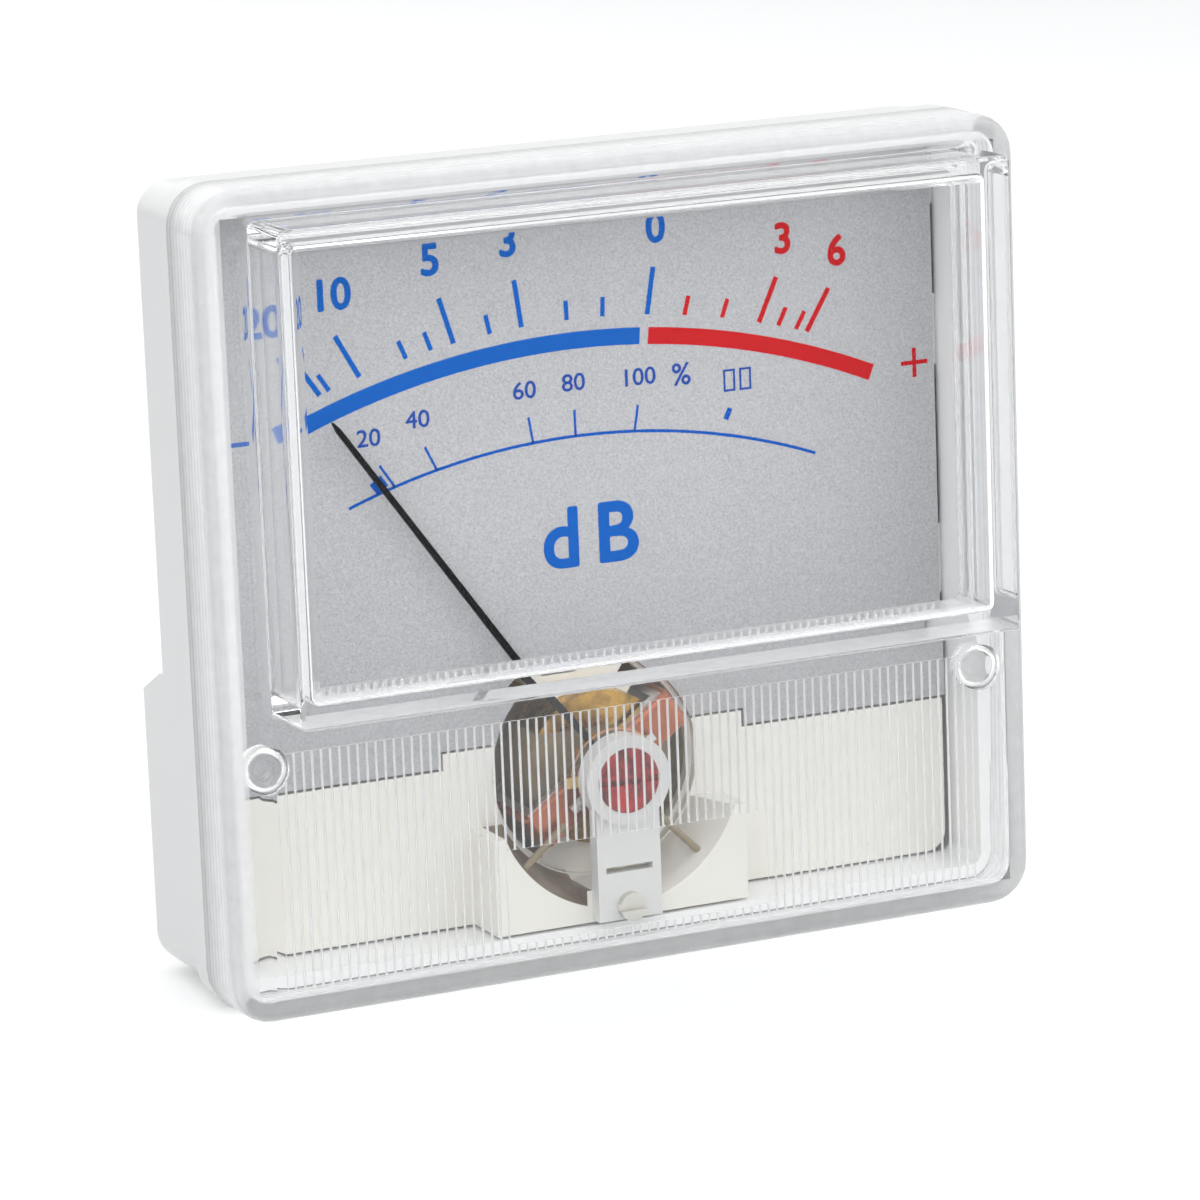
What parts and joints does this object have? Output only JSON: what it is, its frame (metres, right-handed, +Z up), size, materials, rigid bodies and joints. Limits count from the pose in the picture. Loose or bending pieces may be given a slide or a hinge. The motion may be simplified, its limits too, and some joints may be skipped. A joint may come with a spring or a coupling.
{
  "type": "analog vu meter",
  "caption": "Moving-coil level meter for flush panel mounting: clear cover with a raised window, silver dial with blue and red scale, black pointer, white rear case",
  "frame": {"origin": "middle of the meter's base line: centred in width, mid-depth of the bounding box, Z = 0 at the underside", "axes": "X to the viewer's right, Y to the back of the meter, Z up; the window faces -Y"},
  "size_m": [0.048, 0.0226, 0.0446],
  "materials": {
    "clear_plastic": "gloss",
    "white_case": "satin",
    "dial_paint": "satin",
    "ivory_frame": "satin",
    "white_bridge": "satin",
    "zinc_screws": "satin",
    "magnet_alloy": "satin",
    "pole_iron": "satin",
    "yoke_steel": "satin",
    "red_lacquer": "satin",
    "jewel_stone": "gloss",
    "turned_brass": "satin",
    "tinned_tabs": "satin",
    "black_plastic": "satin",
    "bronze_strip": "satin",
    "former_alloy": "satin",
    "enamelled_copper": "gloss",
    "pointer_black": "matte",
    "cross_metal": "satin",
    "solder": "satin",
    "pivot_steel": "polished",
    "hub_resin": "satin"
  },
  "bodies": {
    "housing": {"front_cover": "clear_plastic", "rear_case": "white_case", "dial_plate": "dial_paint", "movement_frame": "ivory_frame", "front_bridge": "white_bridge", "bridge_screw": "zinc_screws", "movement_screws": "zinc_screws", "core_magnet": "magnet_alloy", "pole_shoes": "pole_iron", "yoke_ring": "yoke_steel", "jewel_screw_front": "red_lacquer", "jewel_front": "jewel_stone", "jewel_screw_rear": "turned_brass", "jewel_rear": "jewel_stone", "spring_post_front": "turned_brass", "stop_pins": "pivot_steel", "terminals": "tinned_tabs"},
    "moving_coil": {"coil_former": "former_alloy", "coil_winding": "enamelled_copper", "pointer": "pointer_black", "balance_cross": "cross_metal", "balance_weights": "solder", "hub_front": "hub_resin", "hub_rear": "hub_resin", "collet_front": "turned_brass", "collet_rear": "turned_brass", "pivot_front": "pivot_steel", "pivot_rear": "pivot_steel", "hairspring_front": "bronze_strip", "hairspring_rear": "bronze_strip"},
    "regulator": {"zero_regulator": "bronze_strip"},
    "adjuster": {"zero_adjuster": "black_plastic"}
  },
  "joints": [
    {"name": "pointer_swing", "type": "hinge", "parent": "housing", "child": "moving_coil", "pos_m": [0, -0.00047, 0.00995], "axis": [0, 1, 0], "range_deg": [-2, 78], "stiffness_Nm_per_rad": 0.000002, "deforming": ["hairspring_front", "hairspring_rear"]},
    {"name": "zero_adjust", "type": "hinge", "parent": "housing", "child": "adjuster", "pos_m": [0, -0.00047, 0.00395], "axis": [0, 1, 0], "range_deg": [-40, 40]},
    {"name": "regulator_turn", "type": "hinge", "parent": "housing", "child": "regulator", "pos_m": [0, -0.00047, 0.00995], "axis": [0, 1, 0], "range_deg": [-4.2, 4.2]}
  ],
  "couplings": [
    {"joint": "regulator_turn", "follows": "zero_adjust", "ratio": -0.1}
  ]
}
